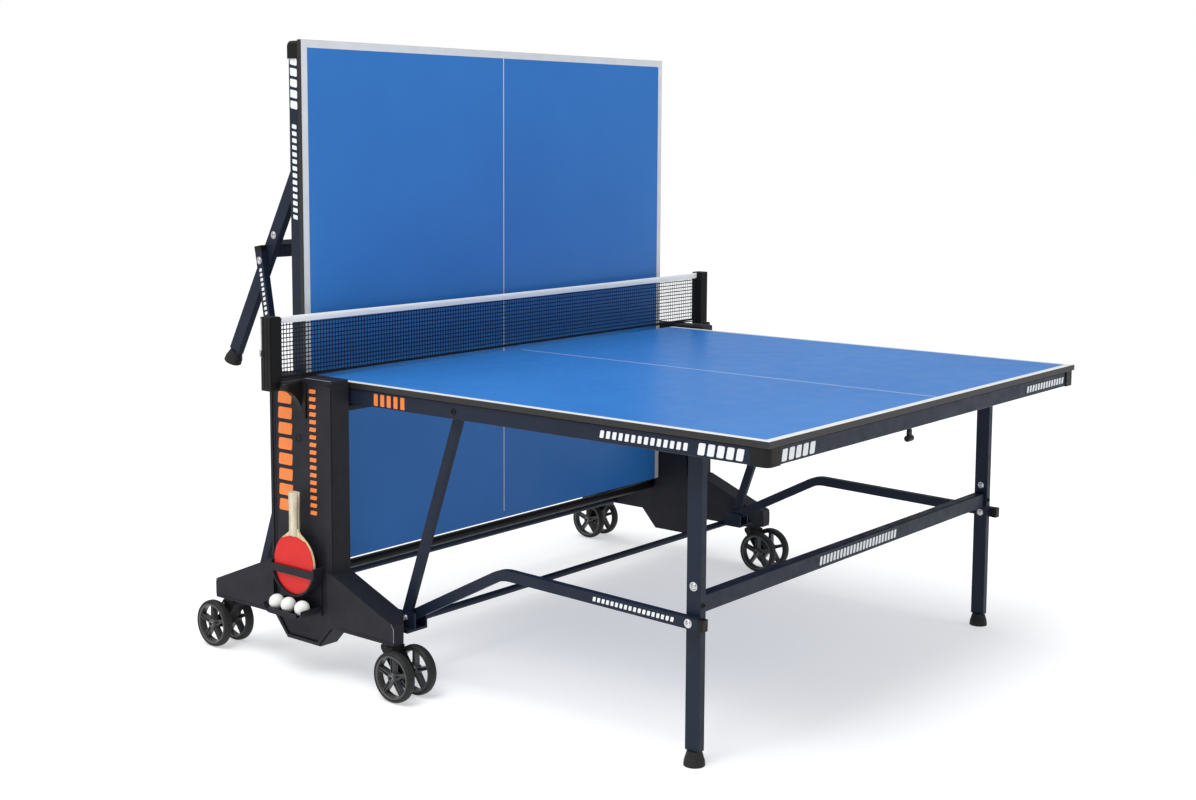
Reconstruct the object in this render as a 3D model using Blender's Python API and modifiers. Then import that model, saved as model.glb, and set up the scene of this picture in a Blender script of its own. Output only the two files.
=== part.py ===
"""Ping pong table: two folding half-tables on a rolling centre frame, one half folded up for storage.

Metres, +Z up. The halves fold about axes along Y. X runs along the table, and the near side faces -Y.
Every half is drawn unfolded with its net edge at the net plane, then turned to its place.
"""

import math

import bmesh
import bpy
from mathutils import Matrix, Vector

# Row frame: the net plane's X, so that the origin is under the middle of the part.
NET_X = -0.45835

# Half-table
LENGTH = 1.370          # from the net to the end
HALF_WIDTH = 0.7625
TOP_Z = 0.760           # playing surface
BOARD = 0.015           # board thickness
NET_GAP = 0.0015        # half of the joint between the two boards
RAIL_DEEP = 0.040
RAIL_THICK = 0.020
RAIL_Y = 0.7575         # outer face of the side rails
CAP = 0.046             # plastic corner cap
GAP = 0.0003            # clearance between pieces that touch

# Folded half: its face and its net edge
FOLDED_FACE = 0.0496
FOLDED_EDGE_Z = 0.2493

# Pivots of one half, as (distance from the net, height), when unfolded
HINGE = (0.025, 0.730)          # half-table on its slider
BRACE_TOP = (0.4737, 0.7234)
BRACE_FOOT = (0.2805, 0.1750)
LEG_TOP = (1.1431, 0.722)
STRUT_FOOT = (0.2911, 0.1808)
STRUT_BEND = (0.5935, 0.3390)
STRUT_END = (1.1431, 0.3269)
STRUT_LENGTH = 0.8645           # between its two pivots
STRUT_PAST = 0.038              # its open end, past the pivot on the leg
LEG_LEAN = math.radians(28.465)   # of a folded leg, from the vertical

# Tubes
LEG_WIDE, LEG_THICK, LEG_Y = 0.038, 0.020, 0.7025
LEG_END_Z = 0.034
FOOT_R, FOOT_STEM_R, FOOT_STEM_TOP = 0.0245, 0.005, 0.075
BAR_Z = (0.343, 0.383)
BAR_DEEP = 0.028
TUBE_WIDE = 0.026
STRUT_Y = (0.7030, 0.7220)
BRACE_Y = (0.7225, 0.7370)
SLIDER_R, SLIDER_DROP = 0.0125, 0.050
SLIDER_PIN_R, SLIDER_PIN_Y = 0.008, 0.790
LUG_Y = (0.7240, 0.7300)
LUG_WIDE = 0.024

# Side uprights with their base wings
POST_X = 0.118
POST_Y = (0.7675, 0.8240)
POST_TOP = 0.757
WING_Y = (0.7675, 0.8350)
WING_X = 0.342
WING_Z = 0.1373
SLOT_Y = 0.792

# Base cross tubes with the link brackets
CROSS = (0.238, 0.147)
CROSS_R = 0.0095

# Casters
STEM = (0.305, 0.8013)
TRAIL = 0.043
WHEEL_R, WHEEL_WIDE, WHEEL_SIDE = 0.0635, 0.026, 0.0375
AXLE_R = 0.005

# Net
NET_POST_Y = (0.900, 0.935)
NET_POST_Z = (0.745, 0.930)
NET_Z = (0.772, 0.926)

# Holder, bat and balls
HOLDER_X = 0.084
HOLDER_Y = (0.8243, 0.862)
BLADE = (0.0, 0.290)            # centre of the bat's blade
BLADE_R = (0.0755, 0.0790)
BAT_Y, BAT_THICK = 0.850, 0.0125
BALL_R, BALL_Y, BALL_Z = 0.020, 0.8720, 0.1862
TRAY_Z = 0.1660
TRAY_X = 0.0742
TRAY_Y = 0.8965

NAVY = (0.016, 0.020, 0.040)
CHARCOAL = (0.022, 0.022, 0.027)
BLACK = (0.012, 0.012, 0.012)
BLUE = (0.030, 0.130, 0.420)
STEEL = (0.500, 0.500, 0.520)
WHITE = (0.850, 0.850, 0.830)
RED = (0.600, 0.020, 0.020)

for old in list(bpy.data.objects):
    bpy.data.objects.remove(old)

helpers = bpy.data.collections.new("helpers")
bpy.context.scene.collection.children.link(helpers)
helpers.hide_render = True


# Shapes, each a bmesh

def box(x, y, z):
    bm = bmesh.new()
    bmesh.ops.create_cube(bm, size=1.0)
    size = Vector((x[1] - x[0], y[1] - y[0], z[1] - z[0]))
    middle = Vector((x[0] + x[1], y[0] + y[1], z[0] + z[1])) / 2
    bmesh.ops.scale(bm, vec=size, verts=bm.verts)
    bmesh.ops.translate(bm, vec=middle, verts=bm.verts)
    return bm


def rod(x, z, y0, y1, radius, sides=20):
    """A cylinder along Y."""
    bm = bmesh.new()
    place = Matrix.Translation((x, (y0 + y1) / 2, z)) @ Matrix.Rotation(math.pi / 2, 4, "X")
    bmesh.ops.create_cone(bm, cap_ends=True, segments=sides, radius1=radius, radius2=radius,
                          depth=abs(y1 - y0), matrix=place)
    return bm


def upright_rod(x, y, z0, z1, low_r, top_r, sides=20):
    bm = bmesh.new()
    bmesh.ops.create_cone(bm, cap_ends=True, segments=sides, radius1=low_r, radius2=top_r,
                          depth=z1 - z0, matrix=Matrix.Translation((x, y, (z0 + z1) / 2)))
    return bm


def prism(outline, y0, y1):
    """The outline, in X and Z, drawn out along Y."""
    bm = bmesh.new()
    face = bm.faces.new([bm.verts.new((x, y0, z)) for x, z in outline])
    grown = bmesh.ops.extrude_face_region(bm, geom=[face])
    moved = [g for g in grown["geom"] if isinstance(g, bmesh.types.BMVert)]
    bmesh.ops.translate(bm, vec=(0, y1 - y0, 0), verts=moved)
    bmesh.ops.recalc_face_normals(bm, faces=bm.faces)
    return bm


def plate_along_x(outline, x0, x1):
    """The outline, in Y and Z, drawn out along X."""
    bm = bmesh.new()
    face = bm.faces.new([bm.verts.new((x0, y, z)) for y, z in outline])
    grown = bmesh.ops.extrude_face_region(bm, geom=[face])
    moved = [g for g in grown["geom"] if isinstance(g, bmesh.types.BMVert)]
    bmesh.ops.translate(bm, vec=(x1 - x0, 0, 0), verts=moved)
    bmesh.ops.recalc_face_normals(bm, faces=bm.faces)
    return bm


def turned_ring(x, z, profile, steps=24):
    """A closed profile of (radius, y) turned about an axis along Y."""
    bm = bmesh.new()
    verts = [bm.verts.new((x + r, y, z)) for r, y in profile]
    edges = [bm.edges.new((a, b)) for a, b in zip(verts, verts[1:] + verts[:1])]
    bmesh.ops.spin(bm, geom=verts + edges, cent=(x, 0, z), axis=(0, 1, 0), dvec=(0, 0, 0),
                   angle=2 * math.pi, steps=steps, use_merge=True, use_duplicate=False)
    bmesh.ops.remove_doubles(bm, verts=bm.verts, dist=1e-6)
    bmesh.ops.recalc_face_normals(bm, faces=bm.faces)
    return bm


def arc(centre, radius, start, end, steps):
    """Points of an arc in degrees, anticlockwise from +X towards +Z when end is over start."""
    angles = [math.radians(start + (end - start) * i / steps) for i in range(steps + 1)]
    return [(centre[0] + radius * math.cos(a), centre[1] + radius * math.sin(a)) for a in angles]


def stadium(a, b, wide, steps=8):
    """The outline of a straight bar with round ends about a and b."""
    lean = math.degrees(math.atan2(b[1] - a[1], b[0] - a[0]))
    return (arc(b, wide / 2, lean - 90, lean + 90, steps)
            + arc(a, wide / 2, lean + 90, lean + 270, steps))


def bent_bar(a, bend, b, wide, past, radius=0.10, steps=7):
    """The outline of a bar from a over a rounded bend to b, with a round end at a and a square end past b."""
    first = math.atan2(bend[1] - a[1], bend[0] - a[0])
    second = math.atan2(b[1] - bend[1], b[0] - bend[0])
    turn = first - second
    back = radius * math.tan(turn / 2)
    start = (bend[0] - back * math.cos(first), bend[1] - back * math.sin(first))
    centre = (start[0] + radius * math.sin(first), start[1] - radius * math.cos(first))
    f, s = math.degrees(first), math.degrees(second)
    outer = arc(centre, radius + wide / 2, f + 90, s + 90, steps)
    inner = arc(centre, radius - wide / 2, s + 90, f + 90, steps)
    end = (b[0] + past * math.cos(second), b[1] + past * math.sin(second))
    side = (-math.sin(second) * wide / 2, math.cos(second) * wide / 2)
    square = [(end[0] + side[0], end[1] + side[1]), (end[0] - side[0], end[1] - side[1])]
    return outer + square + inner + arc(a, wide / 2, f + 270, f + 90, steps)


# Objects

def material(name, colour, rough, metal):
    made = bpy.data.materials.new(name)
    made.use_nodes = True
    shader = made.node_tree.nodes["Principled BSDF"]
    shader.inputs["Base Color"].default_value = (*colour, 1.0)
    shader.inputs["Roughness"].default_value = rough
    shader.inputs["Metallic"].default_value = metal
    return made


def add(name, shapes, colour, origin=(0.0, 0.0, 0.0), turn=0.0, at=None, cut=(), bevel=0.0,
        smooth=False, rough=0.5, metal=0.0):
    """One node: shapes joined, cutters taken away. origin becomes the object's origin, and at is where
    that point stands, with the piece turned by turn about Y."""
    def obj_of(bm, label, collection):
        bmesh.ops.translate(bm, vec=-Vector(origin), verts=bm.verts)
        mesh = bpy.data.meshes.new(label)
        bm.to_mesh(mesh)
        bm.free()
        obj = bpy.data.objects.new(label, mesh)
        collection.objects.link(obj)
        return obj

    node = obj_of(shapes[0], name, bpy.context.scene.collection)
    helper_shapes = [(s, "UNION") for s in shapes[1:]] + [(c, "DIFFERENCE") for c in cut]
    for i, (shape, operation) in enumerate(helper_shapes):
        helper = obj_of(shape, f"{name}_helper_{i}", helpers)
        helper.hide_render = True
        helper.display_type = "WIRE"
        helper.parent = node
        boolean = node.modifiers.new(f"join_{i}", "BOOLEAN")
        boolean.operation = operation
        boolean.solver = "EXACT"
        boolean.object = helper
    if bevel:
        rounding = node.modifiers.new("edges", "BEVEL")
        rounding.width = bevel
        rounding.segments = 1
        rounding.limit_method = "ANGLE"
        rounding.angle_limit = math.radians(50)
    if smooth:
        for face in node.data.polygons:
            face.use_smooth = True
    node.data.materials.append(material(name, colour, rough, metal))
    place = Vector(origin if at is None else at)
    node.location = (place.x + NET_X, place.y, place.z)
    node.rotation_euler = (0.0, turn, 0.0)
    return node


def flip(shapes):
    """The same shapes on the other side of the net plane."""
    for bm in shapes:
        bmesh.ops.scale(bm, vec=(-1, 1, 1), verts=bm.verts)
        bmesh.ops.reverse_faces(bm, faces=bm.faces)
    return shapes


SIDES = (("near", -1), ("far", 1))


def folded(point):
    """Where a point of an unfolded half, as (distance, height), stands when the half is folded."""
    return (FOLDED_FACE + TOP_Z - point[1], FOLDED_EDGE_Z + point[0])


def half(tag, side, is_folded):
    """One half-table with its slider, legs and links. side is the sign of X, tag its name's ending."""
    turn = -side * math.pi / 2 if is_folded else 0.0
    rest = folded if is_folded else (lambda p: p)

    def piece(name, shapes, pivot, colour, cut=(), turned=0.0, at=None, across=0.0, **more):
        stand = rest(pivot) if at is None else at
        if side < 0:
            shapes, cut = flip(list(shapes)), flip(list(cut))
        return add(f"{name}_{tag}", shapes, colour, origin=(side * pivot[0], across, pivot[1]), cut=cut,
                   turn=turned, at=(side * stand[0], across, stand[1]), **more)

    under = TOP_Z - BOARD - GAP
    rail_z = (under - RAIL_DEEP, under)
    piece("board", [box((NET_GAP, LENGTH), (-HALF_WIDTH, HALF_WIDTH), (TOP_Z - BOARD, TOP_Z))],
          HINGE, BLUE, turned=turn, bevel=0.0015)
    cap_x = LENGTH - 0.0015 - CAP
    cap_y = HALF_WIDTH - 0.0015 - CAP
    for where, y in SIDES:
        low, high = sorted((y * (RAIL_Y - RAIL_THICK), y * RAIL_Y))
        piece(f"side_rail_{where}", [box((0.004, cap_x - GAP), (low, high), rail_z)],
              HINGE, NAVY, turned=turn, bevel=0.002)
        corner = [(cap_x, cap_y), (LENGTH - 0.0015, cap_y)]
        corner += arc((LENGTH - 0.0165, HALF_WIDTH - 0.0165), 0.015, 0, 90, 5)
        corner += [(cap_x, HALF_WIDTH - 0.0015)]
        cap = bmesh.new()
        face = cap.faces.new([cap.verts.new((x, y * w, rail_z[0] - 0.0005)) for x, w in corner])
        grown = bmesh.ops.extrude_face_region(cap, geom=[face])
        moved = [g for g in grown["geom"] if isinstance(g, bmesh.types.BMVert)]
        bmesh.ops.translate(cap, vec=(0, 0, RAIL_DEEP + 0.0005), verts=moved)
        bmesh.ops.recalc_face_normals(cap, faces=cap.faces)
        piece(f"corner_cap_{where}", [cap], HINGE, BLACK, turned=turn)
    end_y = cap_y - GAP
    piece("end_rail", [box((LENGTH - 0.0045 - RAIL_THICK, LENGTH - 0.0045), (-end_y, end_y), rail_z)],
          HINGE, NAVY, turned=turn, bevel=0.002)

    # Release lever under the end rail, at the player's left hand
    lever_x, lever_y = LENGTH - 0.0145, side * -0.143
    lever_top = rail_z[0] - GAP
    lever_pin = rail_z[0] - GAP - 0.0065
    stem = arc((lever_y, lever_pin), 0.006, 0, 180, 8)
    stem += [(lever_y - 0.006, lever_pin - 0.014), (lever_y + 0.006, lever_pin - 0.014)]
    lever = [plate_along_x(stem, lever_x - 0.004, lever_x + 0.004),
             rod(lever_x, lever_pin - 0.018, lever_y - 0.011, lever_y + 0.011, 0.0075, 14)]
    piece("release_lever", lever, (lever_x, lever_pin), BLACK, turned=turn, across=lever_y)

    # Slider on which the half turns: a cross tube with two lugs, and a pin in each upright's slot
    tube_z = HINGE[1] - SLIDER_DROP
    slider = [rod(HINGE[0], tube_z, -0.760, 0.760, SLIDER_R),
              rod(HINGE[0], tube_z, -SLIDER_PIN_Y, SLIDER_PIN_Y, SLIDER_PIN_R, 16)]
    for _, y in SIDES:
        low, high = sorted((y * LUG_Y[0], y * LUG_Y[1]))
        slider.append(prism(stadium((HINGE[0], tube_z), HINGE, LUG_WIDE), low, high))
        slider.append(rod(*HINGE, y * LUG_Y[0], y * (RAIL_Y - RAIL_THICK - GAP), 0.006, 14))
    piece("slider_tube", slider, HINGE, BLACK)

    # Legs, their crossbar and their levelling feet
    lean = -side * LEG_LEAN if is_folded else 0.0
    leg_half = LEG_WIDE / 2
    for where, y in SIDES:
        low, high = sorted((y * (LEG_Y - LEG_THICK), y * LEG_Y))
        outline = [(LEG_TOP[0] - leg_half, LEG_END_Z), (LEG_TOP[0] + leg_half, LEG_END_Z)]
        outline += arc(LEG_TOP, leg_half, 0, 180, 10)
        sleeve = rod(LEG_TOP[0], LEG_TOP[1], y * (LEG_Y - 0.010), y * (RAIL_Y - RAIL_THICK - GAP), 0.009, 16)
        middle = y * (LEG_Y - LEG_THICK / 2)
        bore = upright_rod(LEG_TOP[0], middle, LEG_END_Z - 0.01, FOOT_STEM_TOP + 0.012,
                           FOOT_STEM_R + 0.0005, FOOT_STEM_R + 0.0005, 12)
        piece(f"leg_{where}", [prism(outline, low, high), sleeve], LEG_TOP, NAVY, cut=[bore], turned=lean)
        foot = [upright_rod(LEG_TOP[0], middle, 0.0, 0.012, FOOT_R, FOOT_R - 0.001),
                upright_rod(LEG_TOP[0], middle, 0.0115, LEG_END_Z - 0.001, FOOT_R - 0.001, 0.017),
                upright_rod(LEG_TOP[0], middle, 0.020, FOOT_STEM_TOP, FOOT_STEM_R, FOOT_STEM_R, 12)]
        piece(f"levelling_foot_{where}", foot, LEG_TOP, BLACK, turned=lean)
    bar_y = LEG_Y - LEG_THICK - GAP
    bar_x = LEG_TOP[0] - leg_half + 0.002
    piece("leg_crossbar", [box((bar_x, bar_x + BAR_DEEP), (-bar_y, bar_y), BAR_Z)], LEG_TOP, NAVY,
          turned=lean, bevel=0.002)

    # Links: a straight brace from the rail, and a bent strut to the leg
    drop = math.atan2(BRACE_TOP[0] - BRACE_FOOT[0], BRACE_TOP[1] - BRACE_FOOT[1])
    top = folded(BRACE_TOP)
    swing = drop - math.atan2(top[0] - BRACE_FOOT[0], top[1] - BRACE_FOOT[1])
    along = math.atan2(STRUT_END[1] - STRUT_FOOT[1], STRUT_END[0] - STRUT_FOOT[0])
    eye = (STRUT_FOOT[0] + STRUT_LENGTH * math.cos(along), STRUT_FOOT[1] + STRUT_LENGTH * math.sin(along))
    hang = folded(LEG_TOP)
    reach = LEG_TOP[1] - STRUT_END[1]
    meet = (hang[0] + reach * math.sin(LEG_LEAN), hang[1] - reach * math.cos(LEG_LEAN))
    lift = math.atan2(meet[1] - STRUT_FOOT[1], meet[0] - STRUT_FOOT[0]) - along
    for where, y in SIDES:
        low, high = sorted((y * BRACE_Y[0], y * BRACE_Y[1]))
        piece(f"brace_{where}", [prism(stadium(BRACE_FOOT, BRACE_TOP, TUBE_WIDE), low, high)], BRACE_TOP,
              NAVY, turned=-side * swing if is_folded else 0.0)
        low, high = sorted((y * STRUT_Y[0], y * STRUT_Y[1]))
        piece(f"bent_strut_{where}", [prism(bent_bar(STRUT_FOOT, STRUT_BEND, eye, TUBE_WIDE, STRUT_PAST), low, high)],
              STRUT_FOOT, NAVY, at=STRUT_FOOT, turned=-side * lift if is_folded else 0.0)

    # Base cross tube with a bracket at each end for the feet of the links
    cross = [rod(CROSS[0], CROSS[1], -POST_Y[0] + GAP, POST_Y[0] - GAP, CROSS_R, 16)]
    for _, y in SIDES:
        for x, a, b, z in (((CROSS[0], 0.322), 0.6975, POST_Y[0] - GAP, (0.150, 0.156)),
                           ((0.262, 0.322), 0.6975, 0.7025, (0.150, 0.192)),
                           ((0.262, 0.322), 0.7375, 0.7425, (0.150, 0.196))):
            low, high = sorted((y * a, y * b))
            cross.append(box(x, (low, high), z))
    piece("base_cross_tube", cross, CROSS, NAVY, at=CROSS)


def upright(where, y):
    low, high = sorted((y * POST_Y[0], y * POST_Y[1]))
    outline = [(-0.064, 0.078), (0.064, 0.078), (POST_X, 0.137), (POST_X, POST_TOP),
               (-POST_X, POST_TOP), (-POST_X, 0.137)]
    shapes = [prism(outline, low, high)]
    low, high = sorted((y * WING_Y[0], y * WING_Y[1]))
    cuts = []
    for side in (-1, 1):
        wing = [(0.104, WING_Z), (WING_X, WING_Z), (WING_X, 0.188), (POST_X, 0.279), (0.104, 0.279)]
        shapes.append(prism([(side * x, z) for x, z in wing][::side], low, high))
        # Inner corner of the wing's end, cut off at a slant
        corner = box((-0.05, 0.05), (-0.10, 0.0), (0.10, 0.35))
        bmesh.ops.rotate(corner, verts=corner.verts, matrix=Matrix.Rotation(math.atan2(0.0325, 0.033), 3, "Z"))
        bmesh.ops.translate(corner, verts=corner.verts, vec=(0.3255, 0.78375, 0))
        bmesh.ops.scale(corner, vec=(side, y, 1), verts=corner.verts)
        bmesh.ops.recalc_face_normals(corner, faces=corner.faces)
        cuts.append(corner)
        start = (side * HINGE[0], HINGE[1] - SLIDER_DROP)
        stop = (side * folded(HINGE)[0], folded(HINGE)[1] - SLIDER_DROP)
        slot = prism(stadium(start, stop, 2 * SLIDER_PIN_R + 0.001), *sorted((y * 0.760, y * SLOT_Y)))
        cuts.append(slot)
    add(f"side_upright_{where}", shapes, CHARCOAL, cut=cuts)


def caster(tag, where, side, y):
    x, stem_y = side * STEM[0], y * STEM[1]
    axle_x = x + side * TRAIL
    top = WING_Z - GAP
    arm = [(-0.021, 0.1285), (-0.021, 0.119), (TRAIL - 0.014, 0.055)]
    arm += arc((TRAIL, WHEEL_R), 0.015, 215, 395, 8)
    arm += [(0.021, 0.117), (0.021, 0.1285)]
    arm_bm = prism([(x + side * a, b) for a, b in arm], stem_y - 0.021, stem_y + 0.021)
    plate = upright_rod(x, stem_y, 0.1280, top, 0.023, 0.023, 20)
    reach = WHEEL_SIDE + WHEEL_WIDE / 2 + 0.002
    axle = rod(axle_x, WHEEL_R, stem_y - reach, stem_y + reach, AXLE_R, 14)
    add(f"caster_fork_{where}_{tag}", [arm_bm, plate, axle], BLACK, origin=(x, stem_y, top))
    for part, off in (("outer", y), ("inner", -y)):
        mid = stem_y + off * WHEEL_SIDE
        half_wide = WHEEL_WIDE / 2
        bore = AXLE_R + 0.0004
        profile = [(bore, mid - half_wide), (0.015, mid - half_wide), (0.017, mid - 0.006),
                   (0.045, mid - 0.006), (0.047, mid - half_wide + 0.001), (0.059, mid - half_wide),
                   (WHEEL_R, mid - half_wide + 0.006), (WHEEL_R, mid + half_wide - 0.006),
                   (0.059, mid + half_wide), (0.047, mid + half_wide - 0.001), (0.045, mid + 0.006),
                   (0.017, mid + 0.006), (0.015, mid + half_wide), (bore, mid + half_wide)]
        add(f"caster_wheel_{where}_{tag}_{part}", [turned_ring(axle_x, WHEEL_R, profile)], BLACK,
            origin=(axle_x, mid, WHEEL_R), smooth=True)


def net_post(where, y):
    post = box((-0.0175, 0.0175), sorted((y * NET_POST_Y[0], y * NET_POST_Y[1])), NET_POST_Z)
    face = POST_Y[1] + GAP
    radius = NET_POST_Y[0] + 0.004 - face
    web = [(face, 0.757), (face, 0.757 - 0.012 - radius)]
    web += arc((NET_POST_Y[0] + 0.004, 0.757 - 0.012 - radius), radius, 180, 90, 8)[1:]
    web += [(NET_POST_Y[0] + 0.004, 0.757)]
    gusset = plate_along_x([(y * w, z) for w, z in web], -0.009, 0.009)
    add(f"net_post_{where}", [post, gusset], BLACK)


def holder(where, y):
    """Pocket for a bat with a tray for balls under it."""
    def across(a, b):
        return sorted((y * a, y * b))

    back, front = HOLDER_Y
    ring = arc(BLADE, HOLDER_X, 180, 360, 18) + arc(BLADE, HOLDER_X - 0.0050, 360, 180, 18)
    shapes = [
        box((-TRAY_X, TRAY_X), across(back, back + 0.004), (TRAY_Z - 0.004, BLADE[1])),
        prism(ring, *across(back, front)),
        box((-HOLDER_X + 0.001, HOLDER_X - 0.001), across(front - 0.0025, front - 0.0002),
            (BLADE[1] - 0.028, BLADE[1] - 0.008)),
        box((-0.052, 0.052), across(back + 0.001, TRAY_Y), (TRAY_Z - 0.004, TRAY_Z)),
        box((-0.0545, 0.0545), across(TRAY_Y - 0.003, TRAY_Y - 0.0002), (TRAY_Z - 0.003, TRAY_Z + 0.010)),
    ]
    # Round ends of the tray, up to the middle of the balls
    inner, outer = BALL_R + 0.0010, BALL_R + 0.0040
    for x, start in ((-TRAY_X + outer, 180), (TRAY_X - outer, 270)):
        centre = (x, BALL_Z)
        end = arc(centre, outer, start, start + 90, 8) + arc(centre, inner, start + 90, start, 8)
        shapes.append(prism(end, *across(back + 0.001, TRAY_Y - 0.0005)))
    add(f"bat_and_ball_holder_{where}", shapes, CHARCOAL)


def bat():
    start = math.degrees(math.acos(0.014 / BLADE_R[0]))
    blade = [(BLADE[0] + BLADE_R[0] * math.cos(math.radians(a)), BLADE[1] + BLADE_R[1] * math.sin(math.radians(a)))
             for a in [180 - start + (180 + 2 * start) * i / 30 for i in range(31)]]
    outline = blade + [(0.0140, BLADE[1] + 0.088), (0.0135, BLADE[1] + 0.150), (0.0165, BLADE[1] + 0.186),
                       (-0.0165, BLADE[1] + 0.186), (-0.0135, BLADE[1] + 0.150), (-0.0140, BLADE[1] + 0.088)]
    flat = prism(outline, -BAT_Y - BAT_THICK / 2, -BAT_Y + BAT_THICK / 2)
    grip = box((-0.0125, 0.0125), (-BAT_Y - 0.011, -BAT_Y + 0.011), (BLADE[1] + 0.086, BLADE[1] + 0.184))
    add("bat", [flat, grip], RED)


def ball(number, x):
    bm = bmesh.new()
    bmesh.ops.create_uvsphere(bm, u_segments=16, v_segments=10, radius=BALL_R,
                              matrix=Matrix.Translation((x, -BALL_Y, BALL_Z)))
    add(f"ball_{number}", [bm], WHITE, origin=(x, -BALL_Y, BALL_Z), smooth=True)


half("A", 1, False)
half("B", -1, True)
for where, y in SIDES:
    upright(where, y)
    for tag, side in (("A", 1), ("B", -1)):
        caster(tag, where, side, y)
    net_post(where, y)
    holder(where, y)
net_y = NET_POST_Y[0] - GAP
add("net", [box((-0.001, 0.001), (-net_y, net_y), NET_Z)], WHITE)
bat()
for number, x in ((1, -0.0480), (2, -0.0020), (3, 0.0500)):
    ball(number, x)
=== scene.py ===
"""Looks of the folding ping pong table: board paint and lines, tube frame, housings, casters, net, bat.

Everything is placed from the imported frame. Distances are in metres. Each half-table's pieces are built in
its own frame: u away from the net along the board, v across it, w up from the playing surface.
"""

import math

import bmesh
import bpy
from mathutils import Matrix, Vector, noise


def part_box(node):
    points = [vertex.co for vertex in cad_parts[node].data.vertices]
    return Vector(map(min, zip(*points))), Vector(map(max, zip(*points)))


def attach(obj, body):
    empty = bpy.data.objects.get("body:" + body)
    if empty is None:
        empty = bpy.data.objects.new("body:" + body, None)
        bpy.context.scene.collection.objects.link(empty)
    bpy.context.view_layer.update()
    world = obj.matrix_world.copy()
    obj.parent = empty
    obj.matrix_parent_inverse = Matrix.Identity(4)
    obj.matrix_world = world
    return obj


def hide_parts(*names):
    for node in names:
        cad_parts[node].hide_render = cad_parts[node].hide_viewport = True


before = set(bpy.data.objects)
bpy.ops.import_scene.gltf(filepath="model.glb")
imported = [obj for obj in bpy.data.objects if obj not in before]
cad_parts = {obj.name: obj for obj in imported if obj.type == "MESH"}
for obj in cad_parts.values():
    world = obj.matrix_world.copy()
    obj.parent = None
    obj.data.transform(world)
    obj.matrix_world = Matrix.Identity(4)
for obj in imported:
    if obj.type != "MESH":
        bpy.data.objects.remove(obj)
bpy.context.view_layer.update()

net_low, net_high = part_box("net")
NET_X = (net_low.x + net_high.x) / 2
TOP_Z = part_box("board_A")[1].z
SIDES = (("near", -1), ("far", 1))

# Camera, fitted to the standard sizes of the board and the net
EYE = (3.185, -3.569, 1.381)        # from the point of the floor under the middle of the net
AZIMUTH, ELEVATION, ROLL = 129.78, -6.37, 0.20
FOCAL, SHIFT_X, SHIFT_Y = 49.73, 0.0210, -0.0674

# Board and frame, in the half's level place: x from the net, z from the floor
LINE, CENTRE_LINE = 0.020, 0.003
GAP_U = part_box("board_A")[0].x - NET_X
FACE_B, EDGE_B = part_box("board_B")[1].x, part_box("board_B")[0].z - GAP_U
BRACE_TOP, BRACE_FOOT = (0.4737, 0.7234), (0.2805, 0.1750)
STRUT_FOOT, STRUT_BEND, STRUT_END = (0.2911, 0.1808), (0.5935, 0.3390), (1.1431, 0.3269)
LEG_TOP, LEG_LEAN = (1.1431, 0.7220), math.radians(28.465)
STEM = (0.305, 0.8013)
POST_X = 0.118
NET_POST = (0.900, 0.935)
HOUSING_FACE, RAIL_FACE, STRUT_FACE = 0.8240, 0.7576, 0.7221
TAPE_TALL, MESH_PITCH, CORD = 0.0165, 0.0102, (0.0008, 0.0014)     # cord: half its depth and half its width
# Graphics
BAR_ORANGE = (0.90, 0.22, 0.03)
MARK_WHITE = (0.80, 0.81, 0.83)


def add_camera():
    camera = bpy.data.cameras.new("camera")
    camera.sensor_width = 36.0
    camera.lens = FOCAL
    camera.shift_x, camera.shift_y = SHIFT_X, SHIFT_Y
    camera.clip_end = 200.0
    obj = bpy.data.objects.new("camera", camera)
    bpy.context.scene.collection.objects.link(obj)
    az, el = math.radians(AZIMUTH), math.radians(ELEVATION)
    forward = Vector((math.cos(el) * math.cos(az), math.cos(el) * math.sin(az), math.sin(el)))
    turn = forward.to_track_quat("-Z", "Y") @ Matrix.Rotation(math.radians(ROLL), 3, "Z").to_quaternion()
    obj.location = Vector(EYE) + Vector((NET_X, 0, 0))
    obj.rotation_mode = "QUATERNION"
    obj.rotation_quaternion = turn
    bpy.context.scene.camera = obj


def add_light(name, place, aim, size, power, tint=(1.0, 1.0, 1.0)):
    lamp = bpy.data.lights.new(name, "AREA")
    lamp.shape = "RECTANGLE"
    lamp.size, lamp.size_y = size
    lamp.energy = power
    lamp.color = tint
    obj = bpy.data.objects.new(name, lamp)
    bpy.context.scene.collection.objects.link(obj)
    obj.location = place
    obj.rotation_euler = (Vector(aim) - Vector(place)).to_track_quat("-Z", "Y").to_euler()


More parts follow.
